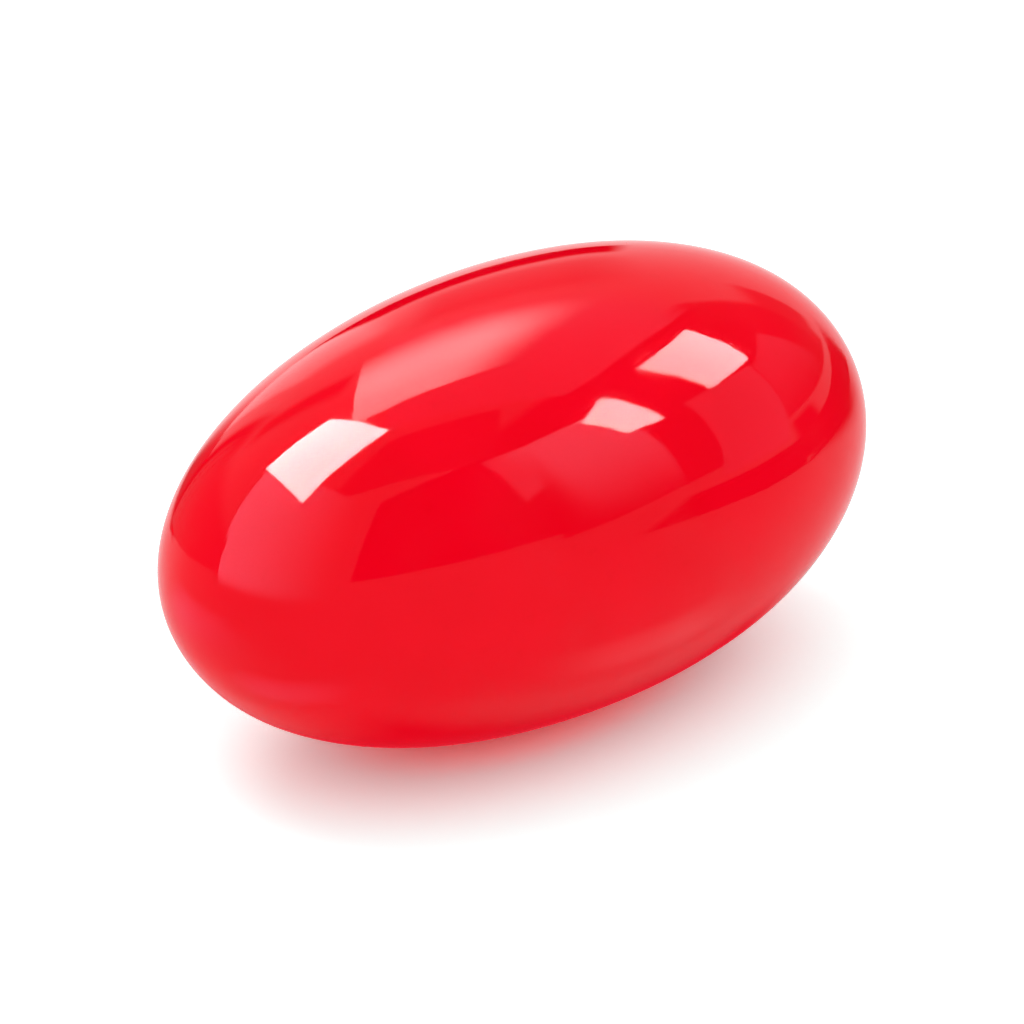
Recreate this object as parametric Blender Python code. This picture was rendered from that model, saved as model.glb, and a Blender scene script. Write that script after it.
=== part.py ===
"""One jelly bean: a small sweet with a polished sugar shell, in one solid piece, lying on its side.

Units are metres and +Z is up. The origin is on the table, under the middle of the bean. The long
axis runs along X, and the blunter of the two ends points to +X.
"""

import math

import bmesh
import bpy
from mathutils import Vector

# Driving sizes
LENGTH = 0.0210
WIDTH = 0.0122
HEIGHT = 0.0114

# How the body departs from a plain ellipsoid, as shares of its radius
SHOULDER_FULLNESS = 0.019
BLUNT_END = 0.029

# The shell's broad, faint flats, left where beans lay against each other while they were coated.
# Each is the way it faces, how deep it is as a share of the radius, and how far it spreads.
TUMBLED_FLATS = (
    (Vector((-0.45, -0.80, 0.40)), 0.0060, 0.10),
    (Vector((0.40, 0.45, 0.80)), 0.0050, 0.12),
    (Vector((0.65, -0.60, -0.15)), 0.0070, 0.09),
    (Vector((-0.55, 0.70, 0.30)), 0.0060, 0.10),
    (Vector((0.10, 0.85, -0.50)), 0.0060, 0.12),
)

# The resting spot: how much of the round belly it takes off
REST_DEPTH = 0.00006

# Facets along each edge of the cube that the round skin is spread from
FACETS = 20

SHELL_COLOUR = (0.83, 0.004, 0.013, 1.0)
SHELL_ROUGHNESS = 0.08


def clear_scene():
    """Removes whatever the file opened with."""
    for old in list(bpy.data.objects):
        bpy.data.objects.remove(old, do_unlink=True)


def shell_material():
    """The glossy red sugar shell."""
    material = bpy.data.materials.new("red_shell")
    material.use_nodes = True
    shader = material.node_tree.nodes["Principled BSDF"]
    shader.inputs["Base Color"].default_value = SHELL_COLOUR
    shader.inputs["Roughness"].default_value = SHELL_ROUGHNESS
    shader.inputs["Metallic"].default_value = 0.0
    return material


def spread_over_sphere(corner):
    """A point on the cube from -1 to 1, as a direction. The tangent keeps the facets even in size."""
    evened = Vector([math.tan(value * math.pi / 4) for value in corner])
    return evened.normalized()


def skin_point(direction):
    """Where the skin lies in one direction from the bean's middle: an ellipsoid with fuller
    shoulders, a thicker +X half and the tumbled flats."""
    share = direction.x * direction.x
    reach = 1 + SHOULDER_FULLNESS * 4 * share * (1 - share)
    for facing, depth, spread in TUMBLED_FLATS:
        away = 1 - direction.dot(facing.normalized())
        reach -= depth * math.exp(-away / spread)
    girth = 1 + BLUNT_END * direction.x
    return Vector(
        (
            direction.x * reach * LENGTH / 2,
            direction.y * reach * girth * WIDTH / 2,
            direction.z * reach * girth * HEIGHT / 2,
        )
    )


def fit_to_sizes(shape):
    """Stretches and moves the shape so that it has the driving sizes exactly, with the bottom of its
    box at the origin, and REST_DEPTH of its belly below the table."""
    for axis, size in enumerate((LENGTH, WIDTH, HEIGHT + REST_DEPTH)):
        places = [corner.co[axis] for corner in shape.verts]
        lowest, highest = min(places), max(places)
        start = -REST_DEPTH if axis == 2 else -size / 2
        for corner in shape.verts:
            corner.co[axis] = start + (corner.co[axis] - lowest) * size / (highest - lowest)


def cut_resting_spot(shape):
    """Cuts the belly off level with the table, which leaves one flat face to rest on."""
    everything = shape.verts[:] + shape.edges[:] + shape.faces[:]
    cut = bmesh.ops.bisect_plane(
        shape, geom=everything, plane_co=(0, 0, 0), plane_no=(0, 0, 1), clear_inner=True
    )
    rim = [part for part in cut["geom_cut"] if isinstance(part, bmesh.types.BMEdge)]
    bmesh.ops.edgeloop_fill(shape, edges=rim)


def make_bean():
    """The bean itself: a cube's skin spread over a sphere, then drawn out to the bean's form."""
    shape = bmesh.new()
    bmesh.ops.create_cube(shape, size=2)
    bmesh.ops.subdivide_edges(shape, edges=shape.edges[:], cuts=FACETS - 1, use_grid_fill=True)
    for corner in shape.verts:
        corner.co = skin_point(spread_over_sphere(corner.co))
    fit_to_sizes(shape)
    cut_resting_spot(shape)
    bmesh.ops.recalc_face_normals(shape, faces=shape.faces[:])

    mesh = bpy.data.meshes.new("jelly_bean")
    shape.to_mesh(mesh)
    shape.free()
    mesh.shade_smooth()
    mesh.materials.append(shell_material())
    bean = bpy.data.objects.new("jelly_bean", mesh)
    bpy.context.scene.collection.objects.link(bean)
    return bean


def main():
    clear_scene()
    make_bean()


main()
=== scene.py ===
# %% [markdown]
# # A red jelly bean
#
# A jelly bean is a lump of soft starch jelly that has been rolled in a turning pan while syrup, sugar
# and colour are poured over it, and is polished with wax at the end. What we see is that shell: one
# deep red, very smooth skin, shaped like an egg that has been drawn out lengthwise.
#
# There is hardly any relief on it, so two things have to be right: the curve of the body, and what the
# polished skin mirrors. The lesson makes the skin first, then its finish, and then a small studio.

import math

import bpy
import numpy as np
from mathutils import Matrix, Vector


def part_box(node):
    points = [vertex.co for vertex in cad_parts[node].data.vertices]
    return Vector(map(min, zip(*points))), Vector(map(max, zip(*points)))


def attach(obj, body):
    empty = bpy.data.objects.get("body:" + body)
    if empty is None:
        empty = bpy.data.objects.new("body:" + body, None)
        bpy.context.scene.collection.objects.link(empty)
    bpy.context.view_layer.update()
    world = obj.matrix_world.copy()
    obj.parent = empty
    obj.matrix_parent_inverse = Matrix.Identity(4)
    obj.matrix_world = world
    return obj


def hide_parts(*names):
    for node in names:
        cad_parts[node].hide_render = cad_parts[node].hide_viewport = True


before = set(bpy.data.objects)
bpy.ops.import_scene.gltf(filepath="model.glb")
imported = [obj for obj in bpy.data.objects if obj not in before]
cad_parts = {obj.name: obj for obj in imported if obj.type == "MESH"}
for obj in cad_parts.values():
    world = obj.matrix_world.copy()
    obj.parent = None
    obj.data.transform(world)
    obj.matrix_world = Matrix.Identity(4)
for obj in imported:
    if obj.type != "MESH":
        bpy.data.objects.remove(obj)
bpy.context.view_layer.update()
low, high = (np.array(corner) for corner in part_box("jelly_bean"))
length, width, height = high - low
MM = 0.001
print("bean, mm:", np.round((high - low) / MM, 2))

# %% [markdown]
# ## The body's form
#
# A jelly bean is close to an ellipsoid, but three small departures make it a bean and not an egg from
# a drawing. Its shoulders, between the middle and the ends, are a little fuller. One half is a little
# thicker than the other. And where beans lay against each other while they were coated, the shell
# keeps broad, faint flats.
#
# We could push a sphere about with modifiers, but then no number says what the shape is. Instead a
# direction from the bean's middle goes into a formula, and the distance to the skin comes out.

# %% Directions over the whole bean
AROUND = 360  # points in each ring round the long axis
ALONG = 200  # rings from the narrow end to the blunt one

turn = np.linspace(0, 2 * np.pi, AROUND, endpoint=False)
tilt = np.linspace(0, np.pi, ALONG + 2)[1:-1]
tilt_grid, turn_grid = np.meshgrid(tilt, turn, indexing="ij")


def ring_directions(tilts, turns):
    """Unit directions from the middle: the tilt is the angle from the narrow end, -X, and the turn
    goes round the X axis."""
    return np.stack(
        [-np.cos(tilts), np.sin(tilts) * np.cos(turns), np.sin(tilts) * np.sin(turns)], axis=-1
    )


directions = ring_directions(tilt_grid, turn_grid)
ends = np.array([[-1.0, 0, 0], [1.0, 0, 0]])
print("rings:", ALONG, "points in each:", AROUND)

# %% How far out the skin lies
SHOULDER_FULLNESS = 0.019
BLUNT_END = 0.029
TUMBLED_FLATS = (  # which way each faces, its depth as a share of the radius, and its spread
    ((-0.45, -0.80, 0.40), 0.0060, 0.10),
    ((0.40, 0.45, 0.80), 0.0050, 0.12),
    ((0.65, -0.60, -0.15), 0.0070, 0.09),
    ((-0.55, 0.70, 0.30), 0.0060, 0.10),
    ((0.10, 0.85, -0.50), 0.0060, 0.12),
)


def bean_skin(direction):
    """Skin points for an array of directions. The reach is 1, plus four times the shoulder fullness
    times x squared times one less x squared, less a bell-shaped dip for each flat. X is the reach
    times half the length. Y and Z are half the width and height times the reach, and times a girth
    that grows evenly from the narrow end to the blunt one."""
    x = direction[..., 0]
    reach = 1 + SHOULDER_FULLNESS * 4 * x**2 * (1 - x**2)
    for facing, depth, spread in TUMBLED_FLATS:
        facing = np.array(facing) / np.linalg.norm(facing)
        reach = reach - depth * np.exp(-(1 - direction @ facing) / spread)
    girth = 1 + BLUNT_END * x
    half = np.array([length, width, height]) / 2
    stretch = np.stack([reach, reach * girth, reach * girth], axis=-1)
    return direction * stretch * half


print("half girth at the blunt end, mm:", np.round(bean_skin(ends)[1] / MM, 3))

# %% [markdown]
# ## The waviness of the shell
#
# The syrup dries in thin coats, and never quite level. The waves are a few thousandths of a
# millimetre high and a few millimetres long: no outline shows them, but a mirror does, and they are
# why the edges of a reflected window look hand drawn on a sweet and ruled on a billiard ball.
#
# A noise texture as bump would do for a picture. Here the waves are in the mesh, as a sum of plane
# waves that run in scattered directions, so that the shape itself has them too.

# %% Waves in the shell
WAVES = 26
WAVE_LENGTHS = (0.0022, 0.0060)
WAVE_HEIGHT = 0.0000042


def shell_waves(points):
    """The height of the waves at each point: the mean of sine waves with seeded directions, lengths
    and phases, scaled so that long waves are higher than short ones."""
    dice = np.random.default_rng(7)
    heading = dice.normal(size=(WAVES, 3))
    heading /= np.linalg.norm(heading, axis=1, keepdims=True)
    wave_length = dice.uniform(*WAVE_LENGTHS, WAVES)
    phase = dice.uniform(0, 2 * np.pi, WAVES)
    angle = points @ (heading / wave_length[:, None]).T * 2 * np.pi + phase
    return (np.sin(angle) * wave_length / wave_length.mean()).sum(axis=-1) * WAVE_HEIGHT / math.sqrt(WAVES)


def wavy_skin(direction):
    """The bean's skin, moved in or out along each direction by the waves."""
    skin = bean_skin(direction)
    return skin + direction * shell_waves(skin)[..., None]


waves = shell_waves(bean_skin(directions))
print("waves, thousandths of a mm:", np.round([waves.min() / MM * 1000, waves.max() / MM * 1000], 1))

# %% [markdown]
# ## Fitting the skin to the solid
#
# The skin has to fill the solid's box exactly, and to lie on its small resting spot. Each axis is
# stretched to the box, with a little of the belly left below the table. Whatever is below the table is
# then pressed flat against it, as the weight of the bean does on a soft day.

# %% Fit and press flat
REST_DEPTH = 0.00006

grid = wavy_skin(directions)
poles = wavy_skin(ends)
every = np.vstack([grid.reshape(-1, 3), poles])
floor_low = low - np.array([0, 0, REST_DEPTH])
share = (every - every.min(axis=0)) / np.ptp(every, axis=0)
points = floor_low + share * (high - floor_low)
points[:, 2] = np.maximum(points[:, 2], low[2])
print("points pressed flat:", int((points[:, 2] <= low[2]).sum()))

# %% [markdown]
# ## From rows of points to a closed mesh
#
# Each ring joins the next one with quads, and the last point of a ring joins its first. At each end one
# point closes the hole with a fan of triangles. The order of the corners decides which side is out.


# %% Faces and the mesh
def ring_faces(rings, around):
    """Quads between neighbouring rings, as corner numbers: this ring, this ring one on, next ring one
    on, next ring."""
    ring = np.arange(rings - 1)[:, None] * around
    here = np.arange(around)[None, :]
    beside = (here + 1) % around
    corners = [ring + here, ring + beside, ring + around + beside, ring + around + here]
    return np.stack([corner + 0 * here for corner in corners], axis=-1).reshape(-1, 4)


def end_fans(rings, around):
    """Triangles from the point at each end to the ring beside it."""
    here = np.arange(around)
    beside = (here + 1) % around
    first, last = rings * around, rings * around + 1
    far_ring = (rings - 1) * around
    near_fan = np.stack([np.full(around, first), beside, here], axis=-1)
    far_fan = np.stack([np.full(around, last), far_ring + here, far_ring + beside], axis=-1)
    return np.vstack([near_fan, far_fan])


def mesh_object(name, corners, faces):
    """A smooth-shaded object at the origin, with its place in its mesh."""
    mesh = bpy.data.meshes.new(name)
    mesh.from_pydata(corners, [], faces)
    mesh.validate()
    mesh.shade_smooth()
    made = bpy.data.objects.new(name, mesh)
    bpy.context.scene.collection.objects.link(made)
    return made


faces = ring_faces(ALONG, AROUND).tolist() + end_fans(ALONG, AROUND).tolist()
bean = mesh_object("bean_shell", points, faces)
sample = bean.data.polygons[len(faces) // 2]
from_heart = sample.center - Vector((0, 0, height / 2))
print("faces:", len(faces), "point out:", sample.normal.dot(from_heart) > 0)

# %% [markdown]
# ## Writing shader maths as Python
#
# A finish is a small sum: this much cloudiness, less that much wear. As boxes and wires it is hard to
# read, so one class wraps a socket and lets `1 - wear * 0.4` add the Math nodes. Everything that isn't
# plain arithmetic comes from one method, `node`, which takes the kind of node, its settings and what
# feeds its sockets.


# %% Sockets that can be added and multiplied
class Signal:
    """One output socket of a node, on which + - and * add Math nodes."""

    def __init__(self, bench, socket):
        self.bench = bench
        self.socket = socket

    def maths(self, operation, first, second):
        return self.bench.node("ShaderNodeMath", {"operation": operation}, {0: first, 1: second})

    def __add__(self, other):
        return self.maths("ADD", self, other)

    def __sub__(self, other):
        return self.maths("SUBTRACT", self, other)

    def __rsub__(self, other):
        return self.maths("SUBTRACT", other, self)

    def __mul__(self, other):
        return self.maths("MULTIPLY", self, other)

    __radd__ = __add__
    __rmul__ = __mul__


class Bench:
    """The node tree of one material or of the world, emptied and ready for nodes."""

    def __init__(self, owner):
        owner.use_nodes = True
        self.tree = owner.node_tree
        self.tree.nodes.clear()

    def node(self, kind, settings=None, sockets=None, output=0):
        """Adds a node, applies its settings, feeds its sockets by name or number, and gives back one
        of its outputs."""
        made = self.tree.nodes.new(kind)
        for name, value in (settings or {}).items():
            setattr(made, name, value)
        for name, value in (sockets or {}).items():
            if isinstance(value, Signal):
                self.tree.links.new(value.socket, made.inputs[name])
            else:
                made.inputs[name].default_value = value
        return Signal(self, made.outputs[output]) if made.outputs else None


def smooth_step(bench, value, start, end):
    """0 before start, 1 after end, and an S-shaped rise between them. With start above end it falls."""
    sockets = {"Value": value, "From Min": start, "From Max": end}
    return bench.node("ShaderNodeMapRange", {"interpolation_type": "SMOOTHSTEP"}, sockets)


def blend_colours(bench, factor, first, second):
    """The first colour where the factor is 0, and the second where it is 1."""
    first, second = (part if isinstance(part, Signal) else (*part, 1) for part in (first, second))
    sockets = {0: factor, 6: first, 7: second}
    return bench.node("ShaderNodeMix", {"data_type": "RGBA"}, sockets, output=2)


print("socket maths ready")

# %% [markdown]
# ## The finish of the shell
#
# The red is dye in clear sugar, so it has depth: here and there a coat is thicker and the red is
# deeper, and it never looks like paint. The wax on top is not quite even either. Where beans rubbed
# together it is duller, and a soft bloom lies round the highlights.
#
# One Principled shader does it. Noise on Object coordinates moves with the sweet. It feeds the base
# colour, the roughness and how much coat there is, and the numbers that are the same all over are set
# on the shader itself. A little subsurface lets light into the jelly.

# %% Sugar shell
BODY_RED = (0.92, 0.0, 0.012)
DEEP_RED = (0.84, 0.0, 0.008)
SHELL_IOR = 1.20
JELLY_GLOW = 0.2
JELLY_DEPTH = 0.003
CLOUDS, SPECKLE, WEAR, PEEL = 230.0, 2600.0, 420.0, 1500.0  # noise cells in a metre
CLOUD_SHARE, SPECKLE_SHARE = 0.55, 0.20  # how much of the deep red each of them brings in
POLISHED, WORN = 0.045, 0.035  # roughness of the best wax, and what wear adds to it
BLOOM, WORN_BLOOM = 0.02, 0.09  # the same for the soft coat over it


def sugar_shell(name):
    """Red, clear and polished, with soft clouds in the colour and uneven wax."""
    material = bpy.data.materials.new(name)
    bench = Bench(material)
    place = bench.node("ShaderNodeTexCoord", output=3)

    def noise(scale, detail=2.0):
        sockets = {"Vector": place, "Scale": scale, "Detail": detail, "Roughness": 0.5}
        return bench.node("ShaderNodeTexNoise", None, sockets)

    clouds = smooth_step(bench, noise(CLOUDS), 0.35, 0.70)
    speckle = smooth_step(bench, noise(SPECKLE), 0.60, 0.78)
    depth_of_red = clouds * CLOUD_SHARE + speckle * SPECKLE_SHARE
    wear = smooth_step(bench, noise(WEAR, 3.0), 0.48, 0.72)
    peel = noise(PEEL, 1.0)

    bump = bench.node("ShaderNodeBump", None, {"Strength": 0.05, "Distance": 0.00003, "Height": peel})
    surface = bench.node(
        "ShaderNodeBsdfPrincipled",
        None,
        {
            "Base Color": blend_colours(bench, depth_of_red, BODY_RED, DEEP_RED),
            "Roughness": POLISHED + wear * WORN,
            "Normal": bump,
            "IOR": SHELL_IOR,
            "Subsurface Weight": JELLY_GLOW,
            "Subsurface Radius": (1.0, 0.10, 0.06),
            "Subsurface Scale": JELLY_DEPTH,
            "Coat Weight": BLOOM + wear * WORN_BLOOM,
            "Coat Roughness": 0.22,
            "Coat IOR": 1.4,
        },
    )
    bench.node("ShaderNodeOutputMaterial", None, {"Surface": surface})
    return material


bean.data.materials.append(sugar_shell("red_sugar_shell"))
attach(bean, "root")
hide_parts("jelly_bean")
print("shell nodes:", len(bean.data.materials[0].node_tree.nodes))

# %% [markdown]
# ## The camera
#
# Small food is photographed with a long lens from some way off, so that it isn't swollen by
# perspective. We stand nearly a metre away, a little above the table, and look along the bean so that
# its blunt end points away to the right.
#
# Later steps place lamps by where they stand round the bean. They use the same two angles: an azimuth
# that is 0 on the camera's side and grows to the viewer's right, and an elevation above the table.

# %% Camera and compass
CAMERA_TURN = math.radians(-40.5)
CAMERA_RISE = 28.0
CAMERA_DISTANCE = 0.85
VIEW_WIDTH = 0.026
SENSOR = 36.0

middle = Vector((0, 0, 0.0052))
to_camera = Vector((math.sin(CAMERA_TURN), -math.cos(CAMERA_TURN), 0))
to_right = Vector((math.cos(CAMERA_TURN), math.sin(CAMERA_TURN), 0))


def compass(azimuth, elevation):
    """The unit direction from the bean at an azimuth from the camera's side and an elevation, both in
    degrees."""
    a, e = math.radians(azimuth), math.radians(elevation)
    level = to_camera * math.cos(a) + to_right * math.sin(a)
    return level * math.cos(e) + Vector((0, 0, 1)) * math.sin(e)


def aimed_at(point, target):
    """Where to put a camera or lamp, and how to turn it, so that it looks from point at target."""
    return Matrix.Translation(point) @ (target - point).to_track_quat("-Z", "Y").to_matrix().to_4x4()


lens = bpy.data.cameras.new("camera")
lens.sensor_width = SENSOR
lens.lens = SENSOR * CAMERA_DISTANCE / VIEW_WIDTH
lens.clip_start = 0.01
camera = bpy.data.objects.new("camera", lens)
camera.matrix_world = aimed_at(middle + compass(0, CAMERA_RISE) * CAMERA_DISTANCE, middle)
bpy.context.scene.collection.objects.link(camera)
bpy.context.scene.camera = camera
print("lens, mm:", round(lens.lens))

# %% [markdown]
# ## The table and the room
#
# The table is plain white. It throws light back up under the bean, which keeps its belly bright. The
# red light that comes through the jelly and off its belly is painted: a pink shadow is painted into the
# table's colour close under the bean, so the shadow is pink and not grey.
#
# A studio table is lit until it burns out to white, and only the deepest part of a shadow is left on
# it. We get that without more light on the bean: to the camera alone the table's white counts for more
# than it does as a bouncer of light. The room is white too, to the camera and in reflections.

# %% White table, white room
TABLE_WHITE = (0.93, 0.92, 0.92)
# the blush is a painted pink shadow: red light and shade painted into the table's colour under the bean
TABLE_PAINTED_PINK_SHADOW = (0.98, 0.60, 0.62)
WHITE_SEEN = (1.16, 1.68, 1.66)  # what the camera sees of them, lifted, and cooled against the red light
# what the camera sees of the painted pink shadow, lifted most in red
PAINTED_PINK_SHADOW_SEEN = (1.95, 1.06, 1.08)
PAINTED_SHADOW_REACH = (0.28, 0.60)  # where the blush starts to fade and where it ends, in half lengths of the bean
TABLE_HALF = 3.0
ROOM_LIGHT = 0.92


def table_white():
    """White, with a pink shadow painted in an oval under the bean, and lifted to a burnt-out white
    where the camera sees it."""
    material = bpy.data.materials.new("table_white")
    bench = Bench(material)
    place = bench.node("ShaderNodeTexCoord", output=3)
    oval = (2 / length, 2 / width, 0)
    across = bench.node("ShaderNodeVectorMath", {"operation": "MULTIPLY"}, {0: place, 1: oval})
    reach = bench.node("ShaderNodeVectorMath", {"operation": "LENGTH"}, {0: across}, output=1)
    # painted pink shadow under the bean, fading out to the plain white
    outward = smooth_step(bench, reach, *PAINTED_SHADOW_REACH)
    lit = blend_colours(bench, outward, TABLE_PAINTED_PINK_SHADOW, TABLE_WHITE)
    shown = blend_colours(bench, outward, PAINTED_PINK_SHADOW_SEEN, WHITE_SEEN)
    seen = bench.node("ShaderNodeLightPath", output=0)
    surface = bench.node("ShaderNodeBsdfDiffuse", None, {"Color": blend_colours(bench, seen, lit, shown)})
    bench.node("ShaderNodeOutputMaterial", None, {"Surface": surface})
    return material


def white_table():
    """A level square sheet centred under the bean."""
    corners = [(x * TABLE_HALF, y * TABLE_HALF, 0) for x, y in ((-1, -1), (1, -1), (1, 1), (-1, 1))]
    table = mesh_object("table", corners, [(0, 1, 2, 3)])
    table.data.materials.append(table_white())


def white_room():
    """A world that is white to the camera and in reflections, and a soft light to everything else."""
    world = bpy.data.worlds.new("white_room")
    bpy.context.scene.world = world
    bench = Bench(world)
    seen = bench.node("ShaderNodeLightPath", output=0)
    mirrored = bench.node("ShaderNodeLightPath", output=3)
    through = bench.node("ShaderNodeLightPath", output=6)
    shown = seen.maths("MAXIMUM", seen, mirrored.maths("MAXIMUM", mirrored, through))
    strength = ROOM_LIGHT + shown * (1 - ROOM_LIGHT)
    background = bench.node("ShaderNodeBackground", None, {"Color": (1, 1, 1, 1), "Strength": strength})
    bench.node("ShaderNodeOutputWorld", None, {"Surface": background})


white_table()
white_room()
print("table, m across:", 2 * TABLE_HALF)

# %% [markdown]
# ## Lamps
#
# Two large soft lamps give the bean its light side and its shadow. They are left out of reflections,
# because what the skin mirrors is set out in the next step.


# %% Soft lamps
def soft_lamp(name, azimuth, elevation, distance, size, power):
    """A square white area lamp aimed at the bean."""
    light = bpy.data.lights.new(name, "AREA")
    light.size = size
    light.energy = power
    lamp = bpy.data.objects.new(name, light)
    lamp.matrix_world = aimed_at(middle + compass(azimuth, elevation) * distance, middle)
    lamp.visible_camera = False
    lamp.visible_glossy = False
    bpy.context.scene.collection.objects.link(lamp)


soft_lamp("window_light", -125, 60, 1.0, 0.5, 1.6)
soft_lamp("fill_light", 115, 40, 1.2, 0.6, 0.5)

# %% [markdown]
# ## What the polish mirrors
#
# Product photographers light gloss with cards: white boards and windows that are seen in the polish,
# and black boards, called flags, that are cut out of it. A round, shiny thing shows nearly the whole
# room, so its look is a picture of those cards.
#
# Each card here is a patch of a sphere round the bean, spread between four corner directions. Its
# edges can be crisp, as a window's are, or fade out, as a softbox's do. A patch can also lie on the
# table. The cards are seen in reflections only, so they give the bean no light.


# %% A card
CARD_STEPS = 17  # points along each side of a card
PATCH_RISE = 0.0002  # how far a patch lies above the table
WHITE = (1.0, 1.0, 1.0)
PINK = (1.0, 0.88, 1.22)
# colour of the painted red shade that the polish mirrors under the bean
PAINTED_RED_SHADE = (1.0, 0.03, 0.06)


def corner_blend(corners):
    """Blends four corners, in proportion along both sides. Gives back a square of blends and of their
    two parameters, 0 to 1 from left to right and from bottom to top."""
    s, t = np.meshgrid(np.linspace(0, 1, CARD_STEPS), np.linspace(0, 1, CARD_STEPS))
    weights = np.stack([(1 - s) * (1 - t), s * (1 - t), s * t, (1 - s) * t], axis=-1)
    return weights @ np.array(corners), np.stack([s, t], axis=-1)


def sheet_faces():
    """Quads of a square sheet of points."""
    row = np.arange(CARD_STEPS - 1)
    first = (row[:, None] * CARD_STEPS + row[None, :]).reshape(-1)
    return np.stack([first, first + 1, first + CARD_STEPS + 1, first + CARD_STEPS], axis=-1)


def card_finish(name, glow, fades, colour):
    """Glows evenly, and turns clear towards each edge that has a fade: left, right, bottom, top."""
    material = bpy.data.materials.new(name)
    material.cycles.emission_sampling = "NONE"
    bench = Bench(material)
    place = bench.node("ShaderNodeUVMap", {"uv_map": "UVMap"})
    across = bench.node("ShaderNodeSeparateXYZ", None, {0: place}, output=0)
    up = bench.node("ShaderNodeSeparateXYZ", None, {0: place}, output=1)
    solid = 1.0
    for distance, fade in zip((across, 1 - across, up, 1 - up), fades):
        if fade:
            solid = smooth_step(bench, distance, 0.0, fade) * solid
    clear = bench.node("ShaderNodeBsdfTransparent")
    light = bench.node("ShaderNodeEmission", None, {"Color": (*colour, 1), "Strength": glow})
    surface = bench.node("ShaderNodeMixShader", None, {0: solid, 1: clear, 2: light})
    bench.node("ShaderNodeOutputMaterial", None, {"Surface": surface})
    return material


def hang(name, points, parameters, glow, fades, colour):
    """Makes a card of a square of points, seen in reflections only."""
    made = mesh_object(name, points.reshape(-1, 3), sheet_faces().tolist())
    layer = made.data.uv_layers.new(name="UVMap")
    corner_points = np.empty(len(made.data.loops), dtype=np.int32)
    made.data.loops.foreach_get("vertex_index", corner_points)
    layer.data.foreach_set("uv", parameters.reshape(-1, 2)[corner_points].ravel())
    made.data.materials.append(card_finish(name, glow, fades, colour))
    made.visible_camera = False
    made.visible_diffuse = False
    made.visible_transmission = False
    made.visible_shadow = False


def card(name, corners, glow, fades=(0, 0, 0, 0), distance=0.5, colour=WHITE, centre=middle):
    """A card on a sphere round a centre. The corners are bottom left, bottom right, top right and top
    left, as azimuth and elevation. A glow of 1 is as bright as the room, and 0 is a black flag."""
    blend, parameters = corner_blend([compass(*corner) for corner in corners])
    blend /= np.linalg.norm(blend, axis=-1, keepdims=True)
    hang(name, np.array(centre) + blend * distance, parameters, glow, fades, colour)


def table_patch(name, corners, glow, fades=(0.4,) * 4, colour=WHITE):
    """A patch of table that is brighter or darker in reflections. The corners are millimetres to the
    viewer's right and towards the viewer, from under the bean's middle."""
    above = Vector((0, 0, PATCH_RISE))
    flat = [to_right * (right * MM) + to_camera * (near * MM) + above for right, near in corners]
    hang(name, *corner_blend(flat), glow, fades, colour)


print("points in a card:", CARD_STEPS**2)

# %% Windows, boards and flags
# windows, crisp and bright
card("left_window", ((-144, 56), (-118, 47), (-60, 62), (-156, 81)), 76.0)
card("middle_window", ((83, 40), (92, 36), (100, 54), (86, 52)), 50.0)
card("right_window", ((105, 33), (121, 28), (136, 40), (116, 50)), 34.0)
# the softbox behind, crisp on its left, and the paler board that it stands against
card("softbox", ((-162, 32), (164, 35), (152, 62), (-141, 68)), 15.5, (0.0, 0.45, 0.55, 0.03), 0.51)
card("back_board", ((-165, 26), (149, 32), (105, 60), (-152, 81)), 1.25, (0.0, 0.02, 0.35, 0.02), 0.52, PINK)
card("back_shade", ((-170, 3), (176, 5), (160, 33), (-166, 33)), 0.5, (0.15, 0.4, 0.3, 0.3), 0.53)
# pale boards at the left, from the front round to behind
card("left_board", ((-75, 3), (-4, 4), (0, 62), (-116, 48)), 6.0, (0.02, 0.78, 0.2, 0.0), 0.52, PINK)
card("left_back_board", ((-170, -2), (-150, -2), (-153, 24), (-166, 28)), 2.0, (0.25, 0.2, 0.1, 0.3), 0.1)
# pale boards at the right
card("middle_board", ((59, 9), (79, 6), (91, 52), (60, 58)), 4.5, (0.35, 0.02, 0.8, 0.02), 0.52, PINK)
card("middle_board_tip", ((54, 33), (61, 37), (72, 57), (58, 60)), 2.1, (0.05, 0.3, 0.1, 0.05), 0.53, PINK)
card("right_board", ((86, 6), (104, 1), (118, 28), (98, 36)), 1.2, (0.02, 0.03, 0.0, 0.02), 0.3, PINK)
card("side_board", ((104, 2), (135, 2), (134, 26), (118, 27)), 0.8, (0.02, 0.1, 0.9, 0.05), 0.52, PINK)
card("rim_flag", ((138, 2), (150, 2), (160, 20), (148, 25)), 0.2, (0.2, 0.2, 0.2, 0.3), 0.515)
# flags
card("front_flag", ((2, 20), (58, 13), (62, 60), (10, 62)), 0.0, (0.01, 0.0, 0.02, 0.0), 0.55)
card("roof_flag", ((-40, 64), (60, 57), (110, 70), (-140, 86)), 0.2, (0.1, 0.0, 0.0, 0.05), 0.56)
card("right_flag", ((57, 10), (146, 0), (152, 36), (60, 68)), 0.1, (0.0, 0.05, 0.02, 0.1), 0.57)
card("left_shade", ((-146, 24), (-134, 26), (-152, 50), (-161, 38)), 0.15, (0.3, 0.5, 0.2, 0.1), 0.515)
card("back_low_flag", ((-163, -3), (176, -3), (175, 9), (-166, 9)), 0.0, (0.1, 0.1, 0.1, 0.25), 0.09)
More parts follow.
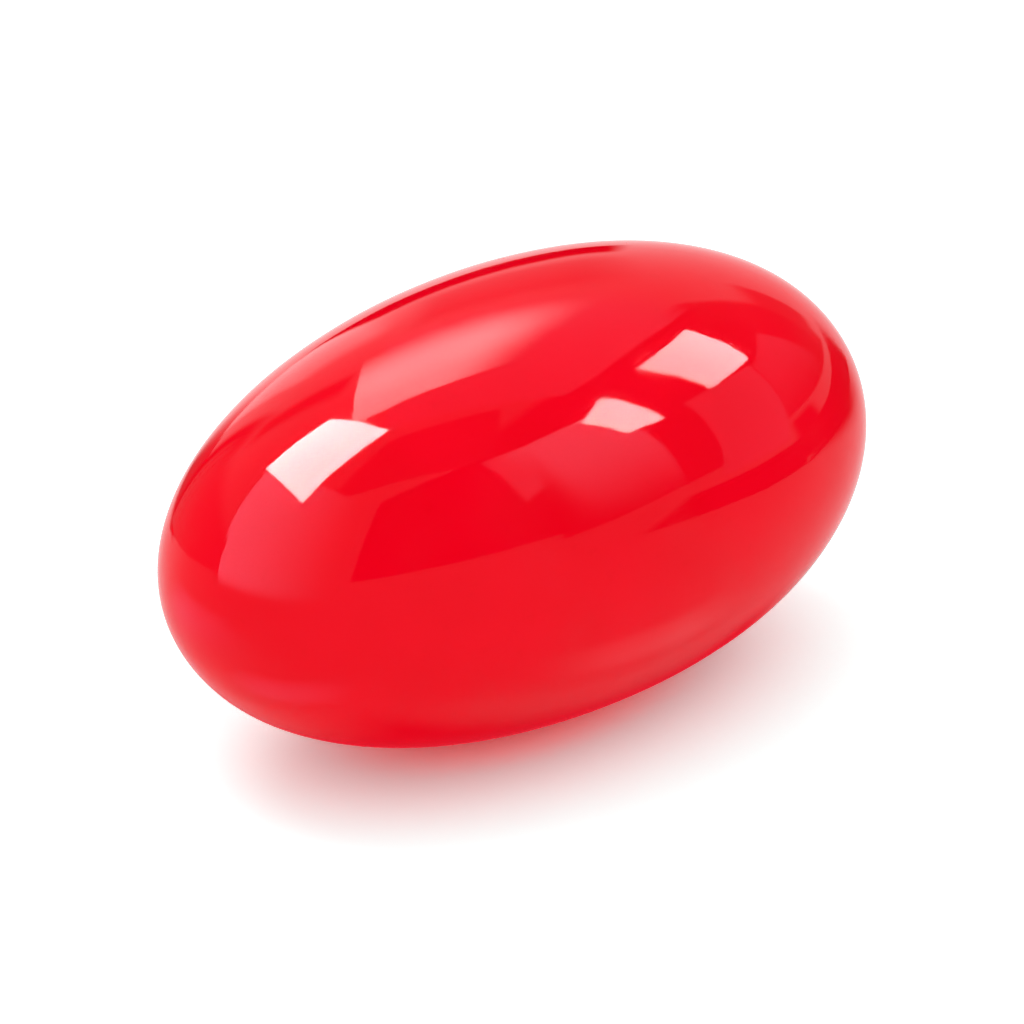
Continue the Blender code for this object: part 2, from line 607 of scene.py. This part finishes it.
# low flags that stand on the table close to the ends of the bean
NEAR, END_PLACE, END_HEIGHT = 0.03, 0.009, 0.005
narrow = {"distance": NEAR, "centre": Vector((-END_PLACE, 0, END_HEIGHT))}
blunt = {"distance": NEAR, "centre": Vector((END_PLACE, 0, END_HEIGHT))}
card("left_zone", ((-150, -9.4), (-78, 14), (-88, 36), (-150, 30)), 0.3, (0.05, 0.0, 0.0, 0.35), **narrow)
card("left_line", ((-154, -9), (-132, -7), (-138, 34), (-157, 38)), 0.02, (0.2, 0.5, 0.0, 0.3), **narrow)
card("right_low_flag", ((46, 3), (97, -9.4), (95, 3), (58, 10)), 0.02, (0.12, 0.0, 0.03, 0.05), **blunt)
card("right_post", ((93, 0), (113, -4), (110, 11), (94, 12)), 0.05, (0.2, 0.3, 0.0, 0.2), **blunt)
card("right_corner", ((97, -9.4), (152, -9.4), (147, 5), (112, 0)), 0.03, (0.0, 0.1, 0.0, 0.15), **blunt)
# reflection-only patches on the table: painted reflections of bright table just outside the shadow,
# a painted red shade under the bean, and painted dark table far behind
table_patch("right_glint", ((2.0, 6.3), (8.6, -0.5), (11.5, 1.5), (4.0, 9.4)), 1.2)
table_patch("left_glint", ((-9.8, 5.3), (-3.0, 9.6), (-3.5, 13.0), (-11.5, 8.5)), 1.6, colour=PINK)
table_patch("left_floor", ((-12, -3), (-9, 14), (-30, 22), (-36, -8)), 1.9, colour=PINK)
# dark patches: painted shade seen in the polish, not a darker table
table_patch("left_painted_dark_reflection", ((-11, -17), (-18, -15), (-360, -186), (-99, -400)), 0.1, (0.3, 0.04, 0.02, 0))
table_patch("right_painted_dark_reflection", ((60, -5), (12, -15), (120, -270), (300, 20)), 0.03, (0.1, 0.2, 0.04, 0.0))
table_patch("painted_red_shade_patch", ((-10.6, 2.2), (3.8, -10.1), (10.6, -2.2), (-3.8, 10.1)), 0.9, (0.2,) * 4, PAINTED_RED_SHADE)

# %% [markdown]
# ## Colour
#
# The Standard view shows each colour about as it is written, which red food needs.

# %% View
bpy.context.scene.view_settings.view_transform = "Standard"
